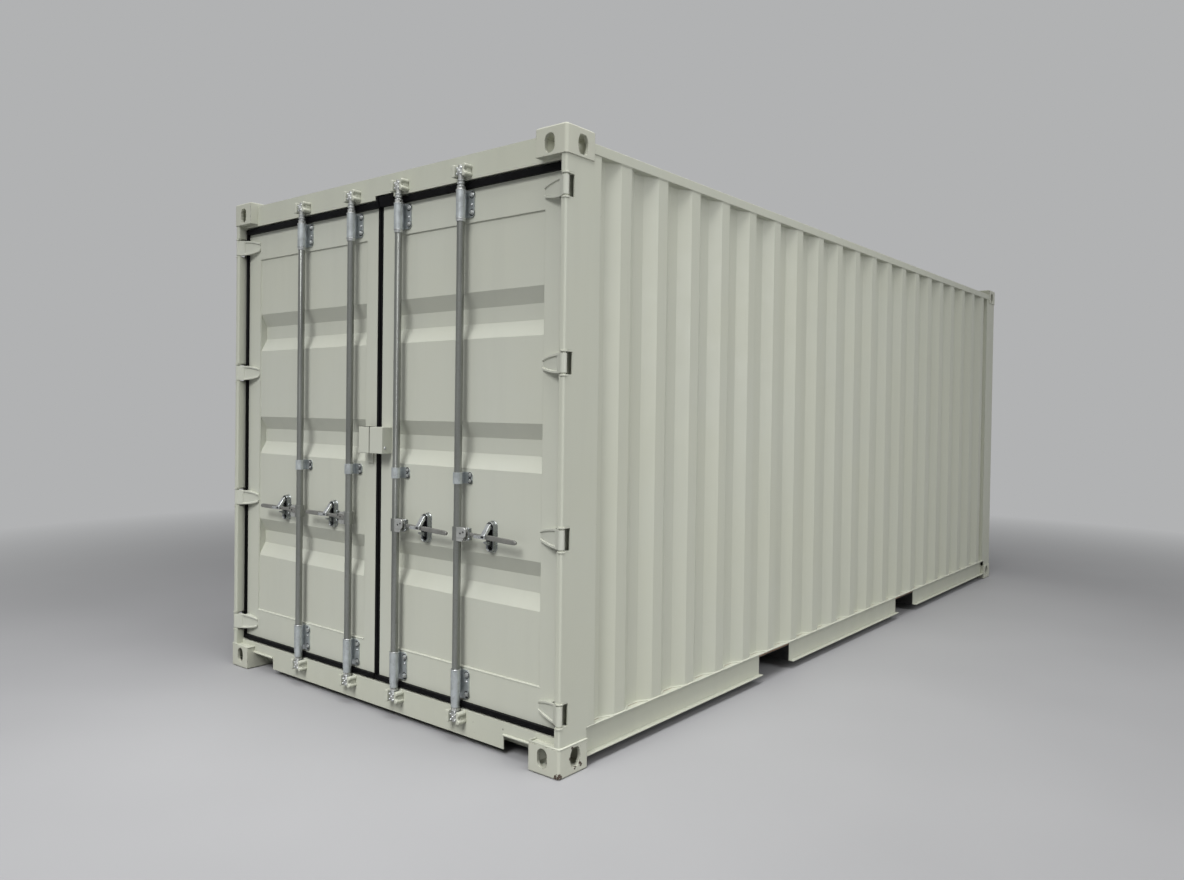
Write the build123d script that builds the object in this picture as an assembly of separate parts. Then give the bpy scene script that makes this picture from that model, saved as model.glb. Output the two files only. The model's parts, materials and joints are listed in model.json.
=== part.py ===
from build123d import *
import math
import os

# Twenty foot dry freight container, millimetres, +Z up.
# The origin is the middle of the footprint at the base of the corner castings.
# The door end is at -X, the blind front end at +X, the left side at +Y.

# Overall envelope, taken over the corner castings
LENGTH = 6058.0
WIDTH = 2438.0
HEIGHT = 2591.0
DOOR_END = -LENGTH / 2
FRONT_END = LENGTH / 2
SIDE = WIDTH / 2

# Posts, rails and walls stand back from the faces of the castings
RECESS = 5.0
SKIN = SIDE - RECESS
DOOR_FACE = DOOR_END + RECESS
BLIND_FACE = FRONT_END - RECESS

# Corner castings
CAST_L = 178.0
CAST_W = 162.0
CAST_H = 118.0
CAST_PLATE = 28.5
CAST_WALL = 16.0
CAST_BACK = 10.0
TWIST_SLOT_L = 124.5
TWIST_SLOT_W = 63.5
TWIST_FROM_END = 102.5
TWIST_FROM_SIDE = 89.5
SIDE_HOLE_W = 63.5
END_HOLE_W = 51.0
HOLE_H = 79.5

# Levels of the base and the roof
RAIL_Z0 = 44.0
RAIL_Z1 = 166.0
FLOOR_TOP = RAIL_Z1
FLOOR_T = 28.0
TOP_RAIL_Z0 = 2487.0
TOP_RAIL_Z1 = 2547.0
ROOF_RISE = 18.0

# Rails and members
RAIL_WEB_Y = SKIN - 26.0
RAIL_T = 4.5
TOP_RAIL = 60.0
TUBE_T = 3.0
MEMBER_FLANGE = 45.0
MEMBER_T = 4.0
POCKET_X = (-1140.0, 910.0)
POCKET_W = 360.0

# Sheet walls
SHEET = 2.0
SIDE_SKIN_Y = SKIN - 1.0
SIDE_CREST = 72.0
SIDE_SLOPE = 68.0
SIDE_VALLEY = 70.0
SIDE_DEPTH = 36.0
SIDE_START = -2796.0
SIDE_WAVES = 20
FRONT_SKIN_X = BLIND_FACE - 7.0
FRONT_CREST = 110.0
FRONT_SLOPE = 18.0
FRONT_VALLEY = 104.0
FRONT_DEPTH = 45.6
FRONT_WAVES = 8
ROOF_PITCH = 209.0
ROOF_CREST = 91.0

# Door end frame
POST_FLANGE = 30.0
POST_T = 6.0
POST_REAR_X = -2800.0
FRONT_POST_Y = 1119.0
JAMB_Y = SKIN - POST_FLANGE
STOP_X = -2905.0
STOP_Y = 1170.0
CHANNEL_L = 105.0
CHANNEL_T = 10.0
FACE_X = -2983.0
HEADER_Z0 = 2463.0
HEADER_Z1 = 2573.0
HEADER_DEPTH = 60.0
SILL_Z0 = 28.0
SILL_Z1 = 143.0
SILL_NOTCH_Y = 873.0
SILL_NOTCH_Z = 85.0

# Door leaves
LEAF_X = -2965.0
LEAF_T = 50.0
LEAF_Z0 = 172.0
LEAF_Z1 = 2427.0
LEAF_MEET = 20.0
LEAF_EDGE = 1168.0
HINGE_STILE = 113.0
LOCK_STILE = 85.0
RAIL_HIGH = 148.0
STILE_T = 3.2
PANEL_SINK = 6.0
TROUGH_PITCH = 569.0
TROUGH_MID_Z = 1304.0
TROUGH_OPEN = 204.0
TROUGH_FLOOR = 69.0
TROUGH_DEPTH = 36.0
GASKET_FRONT = -2982.0
GASKET_REAR = -2940.0
GASKET_MEET = -2964.0
GASKET_LAP = 1.0
GASKET_JAMB = JAMB_Y - 5.0
GASKET_GAP = 3.0
GASKET_Z0 = 149.0
GASKET_Z1 = 2457.0
TAB_Z1 = 2477.0
TAB_Y = 108.0

# Hinges
HINGE_X = -3012.0
HINGE_Y = 1202.0
HINGE_Z = (250.0, 950.0, 1650.0, 2350.0)
KNUCKLE_R = 14.0
KNUCKLE_H = 80.0
PIN_R = 9.9
BORE_R = 10.2
BLADE_L = 146.0
BLADE_TIP_H = 46.0
BLADE_RIM = 10.0
BLADE_SUNK = 4.0
LUG_R = 17.0
LUG_T = 7.0
NOTCH_H = 104.0
NOTCH_X = -2972.0

# Locking gear
ROD_X = -3006.0
ROD_Y = (600.0, 180.0)
ROD_R = 17.0
STEM_R = 14.0
NUT_GAP = 4.0
NUT_H = 10.0
NUT_R = 20.0
CAM_R = 19.5
CAM_H = 26.0
ROD_Z0 = 90.0
ROD_Z1 = 2524.0
KEEPER_Z = (112.0, 2499.0)
KEEPER_W = 90.0
KEEPER_H = 57.0
HORN_GAP = 48.0
HORN_FRONT = -3027.0
GUIDE_Z = ((209.0, 318.0), (2296.0, 2414.0))
FLANGE_Z = ((186.0, 314.0), (2301.0, 2419.0))
GUIDE_NECK_Z = 155.0
GUIDE_NECK_R = 20.5
GUIDE_R = 22.0
GUIDE_BORE = 17.6
GUIDE_FLANGE = 46.0
GUIDE_T = 7.0
MID_GUIDE_Z = (1136.0, 1186.0)
CLEVIS_H = 60.0
CLEVIS_REACH = 56.0
CLEVIS_GAP = 2.0
HANDLE_Z = 918.0
HANDLE_PIN = 40.0
PIN_R_HANDLE = 6.0
HANDLE_L = 362.0
HANDLE_W = 28.0
HANDLE_FRONT = -3014.0
HANDLE_BACK = -3004.0
RIGHT_DROOP = 2.3
RETAINER_OFF = 175.0
RETAINER_Z = 920.0
RETAINER_W = 62.0
RETAINER_H = 138.0
RETAINER_DEPTH = 24.0
LOCK_BOX_Z = (1246.0, 1372.0)
LOCK_BOX_X = -3025.0
LOCK_BOX_RIGHT = 98.0
LOCK_BOX_LEFT = 80.0


def box(x0, x1, y0, y1, z0, z1):
    """A block between two opposite corners."""
    centre = ((x0 + x1) / 2, (y0 + y1) / 2, (z0 + z1) / 2)
    return Pos(*centre) * Box(abs(x1 - x0), abs(y1 - y0), abs(z1 - z0))


def upright(points, z0, z1):
    """A plan outline in X and Y, carried up from z0 to z1."""
    face = make_face(Polyline(*points, close=True))
    return extrude(Pos(0, 0, z0) * face, z1 - z0)


def across(points, y0, y1):
    """An outline in X and Z, carried across from y0 to y1."""
    plane = Plane(origin=(0, y0, 0), x_dir=(1, 0, 0), z_dir=(0, -1, 0))
    face = plane * make_face(Polyline(*points, close=True))
    return extrude(face, -(y1 - y0))


def lengthways(points, x0, x1):
    """An outline in Y and Z, carried along from x0 to x1."""
    plane = Plane(origin=(x0, 0, 0), x_dir=(0, 1, 0), z_dir=(1, 0, 0))
    face = plane * make_face(Polyline(*points, close=True))
    return extrude(face, x1 - x0)


def mirrored_y(shape):
    return mirror(shape, about=Plane.XZ)


def mirrored_x(shape):
    return mirror(shape, about=Plane.YZ)


def both_sides(shape):
    return [shape, mirrored_y(shape)]


def save(name, *shapes):
    """Writes the solids of one sub-part to one file."""
    solids = []
    for shape in shapes:
        solids.extend(shape.solids())
    whole = solids[0] if len(solids) == 1 else Compound(children=solids)
    export_step(whole, f"parts/{name}.step")


def wave(start, count, crest, slope, valley, depth, sheet, lead, tail):
    """Closed outline of a folded sheet: outer flats at 0, valleys at -depth."""
    shift = sheet * math.tan(math.atan2(depth, slope) / 2)
    outer = [(start - lead, 0.0)]
    inner = [(start - lead, -sheet)]
    u = start
    for _ in range(count):
        for du, v, side in ((0, 0.0, -1), (slope, -depth, -1), (valley, -depth, 1), (slope, 0.0, 1)):
            u += du
            outer.append((u, v))
            inner.append((u + side * shift, v - sheet))
        u += crest
    outer.append((u - crest + tail, 0.0))
    inner.append((u - crest + tail, -sheet))
    return outer + inner[::-1]


# Corner castings

def corner_casting():
    """Bottom casting of the door end, right side."""
    x0, y0 = DOOR_END, -SIDE
    block = box(x0, x0 + CAST_L, y0, y0 + CAST_W, 0, CAST_H)
    corner = block.edges().filter_by(Axis.Z).sort_by(lambda e: e.center().X + e.center().Y)[0]
    block = fillet(corner, 14.0)
    block = chamfer(block.faces().sort_by(Axis.Z)[0].edges(), 6.0)
    block -= box(
        x0 + CAST_WALL, x0 + CAST_L - CAST_BACK, y0 + CAST_WALL, y0 + CAST_W - CAST_BACK,
        CAST_PLATE, CAST_H - CAST_BACK,
    )
    hole_z = CAST_PLATE + HOLE_H / 2
    slot = Pos(x0 + TWIST_FROM_END, y0 + TWIST_FROM_SIDE, -1) * extrude(
        SlotOverall(TWIST_SLOT_L, TWIST_SLOT_W), CAST_PLATE + 2
    )
    end_plane = Plane(origin=(x0 - 1, y0 + 89, hole_z), x_dir=(0, 0, 1), z_dir=(1, 0, 0))
    end_hole = extrude(end_plane * SlotOverall(HOLE_H, END_HOLE_W), CAST_WALL + 2)
    side_plane = Plane(origin=(x0 + TWIST_FROM_END, y0 - 1, hole_z), x_dir=(1, 0, 0), z_dir=(0, 1, 0))
    w, h, top = SIDE_HOLE_W / 2, HOLE_H / 2, 17.0
    shield = make_face(
        [
            Line((-top, h), (top, h)),
            ThreePointArc((top, h), (w, 0), (top, -h)),
            Line((top, -h), (-top, -h)),
            ThreePointArc((-top, -h), (-w, 0), (-top, h)),
        ]
    )
    side_hole = extrude(side_plane * shield, CAST_WALL + 2)
    return block - slot - end_hole - side_hole


def corner_castings():
    low = corner_casting()
    low_four = [low, mirrored_y(low), mirrored_x(low), mirrored_x(mirrored_y(low))]
    middle = Plane(origin=(0, 0, HEIGHT / 2), z_dir=(0, 0, 1))
    save("bottom_corner_castings", *low_four)
    save("top_corner_castings", *[mirror(c, about=middle) for c in low_four])


# Base

def channel_rail():
    """Left bottom side rail: a channel open outwards. Web and lower flange stop at the fork pockets."""
    y_in, web = RAIL_WEB_Y - RAIL_T, RAIL_WEB_Y
    z0, z1, t = RAIL_Z0, RAIL_Z1, RAIL_T
    x0, x1, half = DOOR_END + CAST_L, FRONT_END - CAST_L, POCKET_W / 2
    plates = [box(x0, x1, y_in, SKIN, z1 - t, z1)]
    stops = [x0]
    for x in POCKET_X:
        stops.extend([x - half, x + half])
    stops.append(x1)
    for start, end in zip(stops[::2], stops[1::2]):
        plates.append(box(start, end, y_in, web, z0, z1 - t))
        plates.append(box(start, end, web, SKIN, z0, z0 + t))
    return plates


def member(x, facing):
    """A cross member of channel section with its web at x, open along facing."""
    z0, z1 = RAIL_Z0, FLOOR_TOP - FLOOR_T
    f, t = facing * MEMBER_FLANGE, facing * MEMBER_T
    outline = [
        (x, z0), (x + f, z0), (x + f, z0 + MEMBER_T), (x + t, z0 + MEMBER_T),
        (x + t, z1 - MEMBER_T), (x + f, z1 - MEMBER_T), (x + f, z1), (x, z1),
    ]
    reach = RAIL_WEB_Y - RAIL_T
    return across(outline, -reach, reach)


def cross_members():
    half = POCKET_W / 2
    bays = (
        (DOOR_END + 190, POCKET_X[0] - half - 260, 6),
        (POCKET_X[0] + half + 200, POCKET_X[1] - half - 245, 5),
        (POCKET_X[1] + half + 215, FRONT_END - 250, 6),
    )
    members = []
    for first, last, count in bays:
        for i in range(count):
            members.append(member(first + (last - first) * i / (count - 1), 1))
    return members


def fork_pocket(x):
    """Tunnel across the base: a top plate on two flanged webs, open below."""
    z0, z1, t = RAIL_Z0, FLOOR_TOP - FLOOR_T, MEMBER_T
    half, flange = POCKET_W / 2, MEMBER_FLANGE
    reach = RAIL_WEB_Y - RAIL_T
    plates = [box(x - half - t, x + half + t, -reach, reach, z1 - t, z1)]
    for side in (-1, 1):
        web = x + side * half
        plates.append(box(web, web + side * t, -reach, reach, z0, z1 - t))
        plates.append(box(web + side * t, web + side * flange, -reach, reach, z0, z0 + t))
    return plates


def floor_boards():
    x0, x1, boards, gap = STOP_X + CHANNEL_T, BLIND_FACE - TOP_RAIL, 5, 1.5
    long = (x1 - x0 - gap * (boards - 1)) / boards
    reach = RAIL_WEB_Y - RAIL_T
    z0, z1 = FLOOR_TOP - FLOOR_T, FLOOR_TOP
    out = []
    for i in range(boards):
        start = x0 + i * (long + gap)
        out.append(box(start, start + long, -reach, reach, z0, z1))
    for y0, y1 in ((STOP_Y, SIDE), (-SIDE, -STOP_Y)):
        out[0] -= box(x0 - 5, STOP_X + CHANNEL_L, y0, y1, z0 - 5, z1 + 5)
    return out


# Walls, top rails and roof

def side_wall():
    tail = POST_REAR_X * -1 - (SIDE_START + SIDE_WAVES * 278 - SIDE_CREST)
    outline = wave(
        SIDE_START, SIDE_WAVES, SIDE_CREST, SIDE_SLOPE, SIDE_VALLEY, SIDE_DEPTH, SHEET,
        SIDE_START - POST_REAR_X, tail,
    )
    return upright([(u, SIDE_SKIN_Y + v) for u, v in outline], RAIL_Z1, TOP_RAIL_Z0)


def front_wall():
    pitch = FRONT_CREST + FRONT_VALLEY + 2 * FRONT_SLOPE
    start = -(FRONT_WAVES * pitch - FRONT_CREST) / 2
    edge = FRONT_POST_Y
    outline = wave(
        start, FRONT_WAVES, FRONT_CREST, FRONT_SLOPE, FRONT_VALLEY, FRONT_DEPTH, SHEET,
        edge + start, edge + start,
    )
    wall = upright([(FRONT_SKIN_X + v, u) for u, v in outline], RAIL_Z1, TOP_RAIL_Z0)
    reach = SIDE - CAST_W
    for y0, y1 in ((reach, edge + 5), (-edge - 5, -reach)):
        wall -= box(FRONT_END - CAST_L, FRONT_END, y0, y1, HEIGHT - CAST_H, HEIGHT)
    return wall


def square_tube(points_outer, inset):
    (a0, b0), (a1, b1) = points_outer
    outer = [(a0, b0), (a1, b0), (a1, b1), (a0, b1)]
    inner = [(a0 + inset, b0 + inset), (a1 - inset, b0 + inset), (a1 - inset, b1 - inset), (a0 + inset, b1 - inset)]
    return outer, inner


def top_side_rail():
    outer, inner = square_tube(((SKIN - TOP_RAIL, TOP_RAIL_Z0), (SKIN, TOP_RAIL_Z1)), TUBE_T)
    x0, x1 = DOOR_END + CAST_L, FRONT_END - CAST_L
    return lengthways(outer, x0, x1) - lengthways(inner, x0, x1)


def front_top_rail():
    outer, inner = square_tube(((BLIND_FACE - TOP_RAIL, TOP_RAIL_Z0), (BLIND_FACE, TOP_RAIL_Z1)), TUBE_T)
    reach = SIDE - CAST_W
    return across(outer, -reach, reach) - across(inner, -reach, reach)


def front_bottom_rail():
    outer, inner = square_tube(((BLIND_FACE - TOP_RAIL, SILL_Z0), (BLIND_FACE, RAIL_Z1)), 4.0)
    reach, edge = SIDE - CAST_W, FRONT_POST_Y
    rail = across(outer, -edge, edge) - across(inner, -edge - 1, edge + 1)
    for y0, y1 in ((reach, edge + 5), (-edge - 5, -reach)):
        rail -= box(FRONT_END - CAST_L, FRONT_END + 5, y0, y1, 0, CAST_H)
    return rail


def roof_panel():
    """Roof sheet with pressed cross ribs, closed at both ends of each rib."""
    x0, x1, y1 = FACE_X + HEADER_DEPTH, BLIND_FACE - 5, SKIN - 4
    sheet = box(x0, x1, -y1, y1, TOP_RAIL_Z1, TOP_RAIL_Z1 + SHEET)
    rib_y = 2 * (SKIN - TOP_RAIL - 24)
    count = int((x1 - x0 - 120) // ROOF_PITCH)
    first = (x0 + x1) / 2 - (count - 1) * ROOF_PITCH / 2
    crest = ROOF_PITCH - ROOF_CREST
    top = TOP_RAIL_Z1 + SHEET
    for i in range(count):
        x = first + i * ROOF_PITCH
        rib = extrude(Pos(x, 0, top) * Rectangle(crest + 36, rib_y), ROOF_RISE, taper=45)
        hollow = extrude(
            Pos(x, 0, top - SHEET) * Rectangle(crest + 36 - 1.6, rib_y - 1.6), ROOF_RISE, taper=45
        )
        sheet = sheet + rib - hollow
    for cx in (DOOR_END, FRONT_END - CAST_L):
        for cy in (-SIDE, SIDE - CAST_W):
            sheet -= box(cx, cx + CAST_L, cy, cy + CAST_W, TOP_RAIL_Z0, HEIGHT)
    return sheet


# Door end frame

def hinge_notches(y_inner):
    cuts = []
    for z in HINGE_Z:
        cuts.append(box(DOOR_END - 5, NOTCH_X, y_inner, SIDE + 5, z - NOTCH_H / 2, z + NOTCH_H / 2))
    return cuts


def rear_post():
    """Left rear post: pressed plate with a narrow front flange and a side plate."""
    t = POST_T
    outline = [
        (POST_REAR_X, SKIN), (DOOR_FACE, SKIN), (DOOR_FACE, JAMB_Y), (STOP_X, JAMB_Y),
        (STOP_X, JAMB_Y + t), (DOOR_FACE + t, JAMB_Y + t), (DOOR_FACE + t, SKIN - t), (POST_REAR_X, SKIN - t),
    ]
    face = make_face(Polyline(*outline, close=True))
    outside = [v for v in face.vertices() if v.X < DOOR_FACE + 1]
    face = fillet(outside, 9.0)
    post = extrude(Pos(0, 0, CAST_H) * face, TOP_RAIL_Z0 - CAST_H)
    beyond = DOOR_END + CAST_L
    post -= box(beyond, POST_REAR_X + 5, SIDE - 20, SIDE + 5, 0, RAIL_Z1)
    post -= box(DOOR_END - 5, beyond, JAMB_Y - 5, SIDE + 5, HEIGHT - CAST_H, HEIGHT)
    for cut in hinge_notches(JAMB_Y - 5):
        post -= cut
    return post


def post_channel():
    """Left inner channel of the rear post, which is the stop of the door."""
    x0, x1, t = STOP_X, STOP_X + CHANNEL_L, CHANNEL_T
    tip = SKIN - POST_T
    outline = [
        (x0, tip), (x0, STOP_Y), (x1, STOP_Y), (x1, tip), (x1 - t, tip),
        (x1 - t, STOP_Y + t), (x0 + t, STOP_Y + t), (x0 + t, tip),
    ]
    channel = upright(outline, CAST_H, TOP_RAIL_Z0)
    beyond = DOOR_END + CAST_L
    channel -= box(beyond, x1 + 5, STOP_Y - 5, SIDE, 0, RAIL_Z1)
    channel -= box(x0 - 5, beyond, STOP_Y - 5, SIDE, HEIGHT - CAST_H, HEIGHT)
    return channel


def front_post():
    """Left front post: pressed angle with a return that carries the front wall."""
    t = POST_T
    x0, y1, ret = -POST_REAR_X, FRONT_POST_Y, 40.0
    outline = [
        (x0, SKIN), (BLIND_FACE, SKIN), (BLIND_FACE, y1), (BLIND_FACE - ret, y1), (BLIND_FACE - ret, y1 + t),
        (BLIND_FACE - t, y1 + t), (BLIND_FACE - t, SKIN - t), (x0, SKIN - t),
    ]
    face = make_face(Polyline(*outline, close=True))
    outside = [v for v in face.vertices() if v.X > BLIND_FACE - 1]
    face = fillet(outside, 9.0)
    post = extrude(Pos(0, 0, CAST_H) * face, TOP_RAIL_Z0 - CAST_H)
    beyond = FRONT_END - CAST_L
    post -= box(x0 - 5, beyond, SIDE - 20, SIDE + 5, 0, RAIL_Z1)
    post -= box(beyond, FRONT_END + 5, y1 - 5, SIDE + 5, HEIGHT - CAST_H, HEIGHT)
    return post


def door_header():
    """Hollow header over the doors with a stop lip behind the leaves."""
    t, lip = 4.0, 4.0
    x0, x1 = FACE_X, FACE_X + HEADER_DEPTH
    outer = [(x0, HEADER_Z0), (STOP_X, HEADER_Z0), (STOP_X, HEADER_Z0 - 15), (STOP_X + lip, HEADER_Z0 - 15),
             (STOP_X + lip, HEADER_Z0 + t), (x1, HEADER_Z0 + t), (x1, HEADER_Z1), (x0, HEADER_Z1)]
    inner = [(x0 + t, HEADER_Z0 + t), (x1 - t, HEADER_Z0 + t), (x1 - t, HEADER_Z1 - t), (x0 + t, HEADER_Z1 - t)]
    reach = SIDE - CAST_W
    header = across(outer, -JAMB_Y, JAMB_Y) - across(inner, -reach - 5, reach + 5)
    for y0, y1 in ((reach, JAMB_Y + 5), (-JAMB_Y - 5, -reach)):
        header -= box(x0 - 5, DOOR_END + CAST_L + 5, y0, y1, HEIGHT - CAST_H, HEIGHT)
    for y0, y1 in ((STOP_Y, JAMB_Y + 5), (-JAMB_Y - 5, -STOP_Y)):
        header -= box(STOP_X, STOP_X + lip + 5, y0, y1, HEADER_Z0 - 20, HEIGHT - CAST_H)
    header -= box(x0 - 5, STOP_X - 20, -TAB_Y - 6, 24, HEADER_Z0 - 5, TAB_Z1 + 6)
    return header


def door_sill():
    """Hollow sill with its low front ledge, step to the floor and end cut-outs."""
    t, depth = 4.5, 60.0
    x0, x1 = FACE_X, STOP_X + CHANNEL_T
    outer = [(x0, SILL_Z0), (x1, SILL_Z0), (x1, FLOOR_TOP), (STOP_X, FLOOR_TOP), (STOP_X, SILL_Z1), (x0, SILL_Z1)]
    inner = [(x0 + t, SILL_Z0 - 5), (x1 - t, SILL_Z0 - 5), (x1 - t, SILL_Z1 - t), (x0 + t, SILL_Z1 - t)]
    reach = SIDE - CAST_W
    sill = across(outer, -JAMB_Y, JAMB_Y) - across(inner, -reach - 5, reach + 5)
    for y0, y1 in ((reach, JAMB_Y + 5), (-JAMB_Y - 5, -reach)):
        sill -= box(x0 - 5, x1 + 5, y0, y1, 0, CAST_H)
    for y0, y1 in ((STOP_Y, JAMB_Y + 5), (-JAMB_Y - 5, -STOP_Y)):
        sill -= box(STOP_X, x1 + 5, y0, y1, CAST_H, FLOOR_TOP + 5)
    for y0, y1 in ((SILL_NOTCH_Y, reach + 5), (-reach - 5, -SILL_NOTCH_Y)):
        sill -= box(x0 - 5, x0 + depth, y0, y1, 0, SILL_NOTCH_Z)
    return sill


def keeper(y, z):
    """Cam keeper: two ear-shaped horns and the thin back plate between them, open in front."""
    half, gap, base_t = KEEPER_W / 2, HORN_GAP / 2, 5.0
    low, high = z - KEEPER_H / 2, z + KEEPER_H / 2
    out = [box(FACE_X - 1.5, FACE_X, y - gap, y + gap, low, high)]
    ear = [(gap, -KEEPER_H / 2), (half - 9, -KEEPER_H / 2), (half, -KEEPER_H * 0.26), (half, KEEPER_H * 0.26),
           (half - 9, KEEPER_H / 2), (gap, KEEPER_H / 2)]
    neck = [(gap - 1, -13), (gap + 8, -17), (gap + 12, 0), (gap + 8, 17), (gap - 1, 13)]
    for side in (-1, 1):
        horn = lengthways([(y + side * a, z + b) for a, b in ear], HORN_FRONT, FACE_X)
        horn = chamfer(horn.faces().sort_by(Axis.X)[0].edges(), 6.0)
        hollow = lengthways([(y + side * a, z + b) for a, b in neck], HORN_FRONT + 12, FACE_X - base_t)
        out.append(horn - hollow)
    return out


def keepers(z):
    out = []
    for y in ROD_Y:
        out.extend(keeper(y, z) + keeper(-y, z))
    return out


def hinge_lug_pair(z):
    """Two round-nosed lugs in the notch of the post, with the pin between them."""
    half = NOTCH_H / 2
    out = Pos(HINGE_X, HINGE_Y, z) * Cylinder(PIN_R, NOTCH_H - 2 * LUG_T)
    nose = [math.radians(a) for a in (45, 90, 135, 180, 225, 270)]
    outline = [(HINGE_X + LUG_R * math.cos(a), HINGE_Y + LUG_R * math.sin(a)) for a in nose]
    outline[0] = (HINGE_X + 12, SKIN)
    outline.extend([(NOTCH_X, HINGE_Y - 6), (NOTCH_X, SKIN)])
    for low in (z - half, z + half - LUG_T):
        out += upright(outline, low, low + LUG_T)
    return out


# Door leaves: each function builds the left leaf, and the right one is its mirror image

def leaf_frame():
    """Two tube stiles and two channel rails of the left leaf."""
    x0, x1, t = LEAF_X, LEAF_X + LEAF_T, STILE_T
    out = None
    for y0, y1 in ((LEAF_MEET, LEAF_MEET + LOCK_STILE), (LEAF_EDGE - HINGE_STILE, LEAF_EDGE)):
        outer, inner = square_tube(((x0, y0), (x1, y1)), t)
        stile = upright(outer, LEAF_Z0, LEAF_Z1) - upright(inner, LEAF_Z0 - 1, LEAF_Z1 + 1)
        out = stile if out is None else out + stile
    y0, y1 = LEAF_MEET + LOCK_STILE, LEAF_EDGE - HINGE_STILE
    for z0, z1 in ((LEAF_Z0, LEAF_Z0 + RAIL_HIGH), (LEAF_Z1 - RAIL_HIGH, LEAF_Z1)):
        outline = [(x0, z0), (x1, z0), (x1, z0 + t), (x0 + t, z0 + t), (x0 + t, z1 - t), (x1, z1 - t),
                   (x1, z1), (x0, z1)]
        out += across(outline, y0, y1)
    return out


def leaf_panel():
    """Sheet of the left leaf with three level troughs."""
    z0, z1 = LEAF_Z0 + RAIL_HIGH, LEAF_Z1 - RAIL_HIGH
    slope = (TROUGH_OPEN - TROUGH_FLOOR) / 2
    start = TROUGH_MID_Z - TROUGH_PITCH - TROUGH_OPEN / 2
    end = start + 2 * TROUGH_PITCH + TROUGH_OPEN
    flat = TROUGH_PITCH - TROUGH_OPEN
    outline = wave(start, 3, flat, slope, TROUGH_FLOOR, TROUGH_DEPTH, SHEET, start - z0, z1 - end)
    points = [(LEAF_X + PANEL_SINK - v, u) for u, v in outline]
    return across(points, LEAF_MEET + LOCK_STILE, LEAF_EDGE - HINGE_STILE)


def leaf_gasket(tab_y):
    """Rubber seal round the left leaf; tab_y is how far its top corner tab reaches."""
    x0, x1, lap = GASKET_FRONT, GASKET_REAR, GASKET_LAP
    ring = box(x0, x1, GASKET_GAP, GASKET_JAMB, GASKET_Z0, GASKET_Z1)
    ring = chamfer(ring.faces().sort_by(Axis.X)[0].edges(), 5.0)
    ring -= box(LEAF_X, x1 + 1, LEAF_MEET, LEAF_EDGE, LEAF_Z0, LEAF_Z1)
    ring -= box(x0 - 1, LEAF_X, LEAF_MEET + lap, LEAF_EDGE - lap, LEAF_Z0 + lap, LEAF_Z1 - lap)
    ring -= box(x0 - 1, GASKET_MEET, GASKET_GAP - 1, LEAF_MEET + lap + 1, LEAF_Z0, LEAF_Z1)
    ring += box(x0, LEAF_X - 4, GASKET_GAP, tab_y, GASKET_Z1 - 6, TAB_Z1)
    return ring


def blade_outline(inset, tip_y, x0, x1):
    """Front view of a blade, tapering from the knuckle to tip_y, as a block from x0 to x1."""
    root, tip, step = KNUCKLE_H / 2 - inset, BLADE_TIP_H / 2 - inset, HINGE_Y - 62
    upper = [(HINGE_Y + 20, root), (HINGE_Y - 30, root), (step, root - 5), (HINGE_Y - BLADE_L + 12, tip + 2), (tip_y, tip - 3)]
    lower = [(y, -z) for y, z in reversed(upper)]
    return lengthways(upper + lower, x0, x1)


def hinge_blade(z):
    """Forged blade of a left hinge: a tapering strap with thick upper and lower rims, and the knuckle."""
    tip_y = HINGE_Y - BLADE_L
    front = [(-8, -10), (0, -22), (11, -45), (39, -BLADE_L)]
    back = [(47, -BLADE_L), (47, -58), (21, -50), (21, -24), (11, -6)]
    plan = [(HINGE_X + dx, HINGE_Y + dy) for dx, dy in front + back]
    half = KNUCKLE_H / 2
    blade = upright(plan, -half, half) & blade_outline(0, tip_y, HINGE_X - 20, HINGE_X + 60)
    sunk = [(dx + BLADE_SUNK, dy) for dx, dy in front[1:]] + [(dx - 20, dy) for dx, dy in front[:0:-1]]
    sunk[2] = (sunk[2][0] + 0.3, sunk[2][1] - 5)
    sunk[3] = (sunk[3][0], sunk[2][1])
    pocket = upright([(HINGE_X + dx, HINGE_Y + dy) for dx, dy in sunk], -half, half)
    blade -= pocket & blade_outline(BLADE_RIM, tip_y - 6, HINGE_X - 40, HINGE_X + 60)
    knuckle = Cylinder(KNUCKLE_R, KNUCKLE_H)
    blade += Pos(HINGE_X, HINGE_Y, 0) * knuckle
    blade -= Pos(HINGE_X, HINGE_Y, 0) * Cylinder(BORE_R, KNUCKLE_H + 2)
    return Pos(0, 0, z) * blade


def rod_guide(y, sleeve_z, flange_z, seat_x):
    """Bearing of a rod: a round sleeve on a web at its left, and a bolting plate with two corners cut."""
    r, (z0, z1), (low, high), cut = GUIDE_R, sleeve_z, flange_z, 12
    guide = Pos(ROD_X, y, (z0 + z1) / 2) * Cylinder(r, z1 - z0)
    guide += box(ROD_X, seat_x - GUIDE_T / 2, y + 4, y + r, z0, z1)
    outer = y - GUIDE_FLANGE
    plate = [(y + r, low), (outer + cut, low), (outer, low + cut), (outer, high - cut), (outer + cut, high), (y + r, high)]
    guide += lengthways(plate, seat_x - GUIDE_T, seat_x)
    reach = GUIDE_BORE / math.cos(math.pi / 8)
    turns = [math.radians(22.5 + 45 * i) for i in range(8)]
    bore = [(ROD_X + reach * math.cos(a), y + reach * math.sin(a)) for a in turns]
    return guide - upright(bore, z0 - 1, z1 + 1)


def guide_neck(y):
    """Tapering neck under a low guide, round the rod."""
    z0, z1 = GUIDE_NECK_Z, GUIDE_Z[0][0]
    neck = Pos(ROD_X, y, (z0 + z1) / 2) * Cone(GUIDE_NECK_R - 1.0, GUIDE_NECK_R + 1.0, z1 - z0)
    return neck - Pos(ROD_X, y, (z0 + z1) / 2) * Cylinder(GUIDE_BORE, z1 - z0 + 2)


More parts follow.
